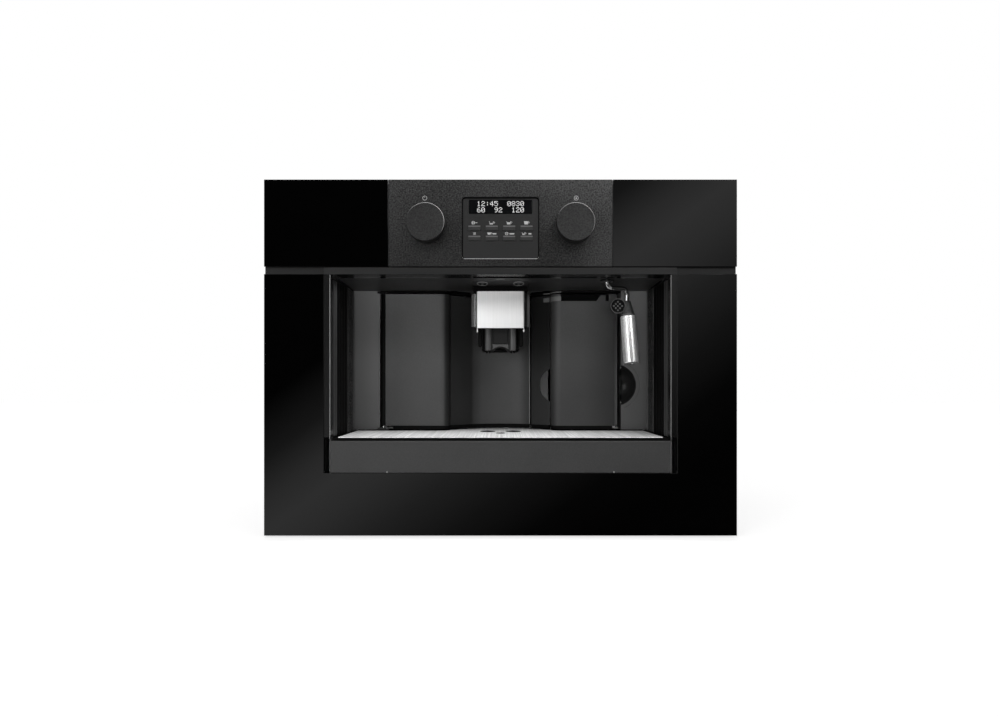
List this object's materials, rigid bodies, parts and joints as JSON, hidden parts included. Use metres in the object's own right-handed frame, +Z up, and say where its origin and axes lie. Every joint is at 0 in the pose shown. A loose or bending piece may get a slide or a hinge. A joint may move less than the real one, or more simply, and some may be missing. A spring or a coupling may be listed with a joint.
{
  "type": "built in coffee machine",
  "caption": "Built-in coffee machine with a black glass front, round control knobs, a lit alcove with sliding spout, steam wand, water tank and drip tray, on pull-out rails.",
  "frame": {"origin": "centre of the footprint of the bounding box, on the floor of the cabinet niche", "axes": "+X to the right seen from the front, +Y into the niche, +Z up"},
  "size_m": [0.595, 0.396, 0.449],
  "materials": {
    "black_glass": "back-painted polished glass",
    "satin_metal": "fine-grained satin",
    "dark_plastic": "satin moulded",
    "gloss_black": "polished moulded",
    "black_plastic": "fine spark texture",
    "brushed_steel": "brushed",
    "polished_steel": "polished",
    "sheet_metal": "zinc-coated sheet",
    "clear_plastic": "clear moulded",
    "display": "smoked",
    "board": "solder mask",
    "brass": "machined",
    "lamp": "diffusing"
  },
  "bodies": {
    "cabinet": {"mounting_base": "sheet_metal", "outer_rail_left": "sheet_metal", "outer_rail_right": "sheet_metal"},
    "machine": {"inner_rail_left": "sheet_metal", "inner_rail_right": "sheet_metal", "lower_glass": "black_glass", "upper_glass_left": "black_glass", "upper_glass_right": "black_glass", "control_fascia": "satin_metal", "front_frame": "black_plastic", "alcove_trim": "satin_metal", "alcove_liner": "gloss_black", "lamp_left": "lamp", "lamp_right": "lamp", "flank_panel": "dark_plastic", "hinge_pin": "brushed_steel", "keypad_plate": "dark_plastic", "display_glass": "display", "control_board": "board", "housing_wrap": "sheet_metal", "chassis": "sheet_metal", "back_cover": "sheet_metal", "power_inlet": "black_plastic", "bean_hopper": "clear_plastic", "grinder": "black_plastic", "brew_unit": "dark_plastic", "grounds_container": "black_plastic", "pump": "brass", "boiler": "sheet_metal"},
    "middle_rails": {"middle_rail_left": "sheet_metal", "middle_rail_right": "sheet_metal"},
    "knob_rod_left": {"knob_shaft_left": "brass"},
    "knob_rod_right": {"knob_shaft_right": "brass"},
    "knob_left": {"knob_left": "satin_metal"},
    "knob_right": {"knob_right": "satin_metal"},
    "door": {"service_door": "dark_plastic", "spout_guide": "black_plastic"},
    "spout": {"spout_block": "black_plastic", "spout_cover": "brushed_steel"},
    "tray": {"drip_tray": "black_plastic", "tray_front": "dark_plastic"},
    "plate": {"cup_plate": "brushed_steel"},
    "tank": {"tank_front": "dark_plastic", "water_tank": "clear_plastic", "tank_lid": "black_plastic"},
    "wand": {"steam_tube": "polished_steel", "wand_grip": "black_plastic", "wand_nozzle": "polished_steel"},
    "sleeve": {"wand_sleeve": "polished_steel"},
    "hopper_lid": {"bean_lid": "black_plastic"},
    "adjuster": {"grind_adjuster": "black_plastic"},
    "switch": {"main_switch": "black_plastic"},
    "key_1_1": {"button_1_1": "dark_plastic"},
    "key_1_2": {"button_1_2": "dark_plastic"},
    "key_1_3": {"button_1_3": "dark_plastic"},
    "key_1_4": {"button_1_4": "dark_plastic"},
    "key_2_1": {"button_2_1": "dark_plastic"},
    "key_2_2": {"button_2_2": "dark_plastic"},
    "key_2_3": {"button_2_3": "dark_plastic"},
    "key_2_4": {"button_2_4": "dark_plastic"}
  },
  "joints": [
    {"name": "machine_slide", "type": "slide", "parent": "cabinet", "child": "machine", "axis": [0, -1, 0], "range_m": [0, 0.3]},
    {"name": "middle_rail_slide", "type": "slide", "parent": "cabinet", "child": "middle_rails", "axis": [0, -1, 0], "range_m": [0, 0.15]},
    {"name": "knob_push_left", "type": "slide", "parent": "machine", "child": "knob_rod_left", "axis": [0, 1, 0], "range_m": [0, 0.002], "stiffness_N_per_m": 1500},
    {"name": "knob_turn_left", "type": "hinge", "parent": "knob_rod_left", "child": "knob_left", "pos_m": [-0.0926, -0.188, 0.3911], "axis": [0, 1, 0], "continuous": true},
    {"name": "knob_push_right", "type": "slide", "parent": "machine", "child": "knob_rod_right", "axis": [0, 1, 0], "range_m": [0, 0.002], "stiffness_N_per_m": 1500},
    {"name": "knob_turn_right", "type": "hinge", "parent": "knob_rod_right", "child": "knob_right", "pos_m": [0.0926, -0.188, 0.3911], "axis": [0, 1, 0], "continuous": true},
    {"name": "key_press_1_1", "type": "slide", "parent": "machine", "child": "key_1_1", "axis": [0, 1, 0], "range_m": [0, 0.001], "stiffness_N_per_m": 1200},
    {"name": "key_press_1_2", "type": "slide", "parent": "machine", "child": "key_1_2", "axis": [0, 1, 0], "range_m": [0, 0.001], "stiffness_N_per_m": 1200},
    {"name": "key_press_1_3", "type": "slide", "parent": "machine", "child": "key_1_3", "axis": [0, 1, 0], "range_m": [0, 0.001], "stiffness_N_per_m": 1200},
    {"name": "key_press_1_4", "type": "slide", "parent": "machine", "child": "key_1_4", "axis": [0, 1, 0], "range_m": [0, 0.001], "stiffness_N_per_m": 1200},
    {"name": "key_press_2_1", "type": "slide", "parent": "machine", "child": "key_2_1", "axis": [0, 1, 0], "range_m": [0, 0.001], "stiffness_N_per_m": 1200},
    {"name": "key_press_2_2", "type": "slide", "parent": "machine", "child": "key_2_2", "axis": [0, 1, 0], "range_m": [0, 0.001], "stiffness_N_per_m": 1200},
    {"name": "key_press_2_3", "type": "slide", "parent": "machine", "child": "key_2_3", "axis": [0, 1, 0], "range_m": [0, 0.001], "stiffness_N_per_m": 1200},
    {"name": "key_press_2_4", "type": "slide", "parent": "machine", "child": "key_2_4", "axis": [0, 1, 0], "range_m": [0, 0.001], "stiffness_N_per_m": 1200},
    {"name": "door_hinge", "type": "hinge", "parent": "machine", "child": "door", "pos_m": [-0.1695, -0.0565, 0.22685], "axis": [0, 0, -1], "range_deg": [0, 85]},
    {"name": "spout_slide", "type": "slide", "parent": "door", "child": "spout", "axis": [0, 0, -1], "range_m": [0, 0.05]},
    {"name": "tray_slide", "type": "slide", "parent": "machine", "child": "tray", "axis": [0, -1, 0], "range_m": [0, 0.2]},
    {"name": "plate_lift", "type": "slide", "parent": "tray", "child": "plate", "axis": [0, 0, -1], "range_m": [-0.025, 0]},
    {"name": "tank_slide", "type": "slide", "parent": "machine", "child": "tank", "axis": [0, -1, 0], "range_m": [0, 0.05]},
    {"name": "wand_swivel", "type": "hinge", "parent": "machine", "child": "wand", "pos_m": [0.141, -0.136, 0.33], "axis": [0, 0, -1], "range_deg": [-45, 95]},
    {"name": "sleeve_slide", "type": "slide", "parent": "wand", "child": "sleeve", "axis": [0.0463, -0.1542, -0.987], "range_m": [0, 0.066]},
    {"name": "lid_hinge", "type": "hinge", "parent": "machine", "child": "hopper_lid", "pos_m": [-0.065, 0.0512, 0.4415], "axis": [-1, 0, 0], "range_deg": [0, 100]},
    {"name": "adjuster_turn", "type": "hinge", "parent": "machine", "child": "adjuster", "pos_m": [-0.02, 0.084, 0.44], "axis": [0, 0, 1], "range_deg": [-70, 70]},
    {"name": "switch_rock", "type": "hinge", "parent": "machine", "child": "switch", "pos_m": [0.13, 0.192, 0.06], "axis": [1, 0, 0], "range_deg": [0, 9]}
  ],
  "couplings": [
    {"joint": "middle_rail_slide", "follows": "machine_slide", "ratio": 0.5}
  ]
}
